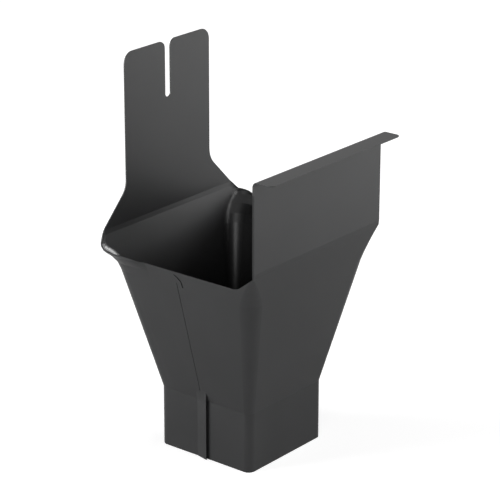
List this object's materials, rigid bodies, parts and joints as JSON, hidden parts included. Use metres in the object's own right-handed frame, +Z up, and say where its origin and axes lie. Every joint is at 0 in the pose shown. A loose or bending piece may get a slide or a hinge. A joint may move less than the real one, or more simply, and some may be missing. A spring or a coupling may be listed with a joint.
{
  "type": "gutter outlet",
  "caption": "Folded sheet-metal gutter outlet: square spout, widening funnel, flanged front panel and tall slotted tongue for a box gutter.",
  "frame": {"origin": "centre of the spout's open end", "axes": "+X along the gutter, -Y towards the front panel and its flange, +Y towards the tongue, +Z up, from the downpipe to the gutter"},
  "size_m": [0.1422, 0.1358, 0.2565],
  "materials": {
    "coated_steel": "semi-gloss dark grey coating"
  },
  "bodies": {
    "root": {"gutter_outlet": "coated_steel"}
  },
  "joints": []
}
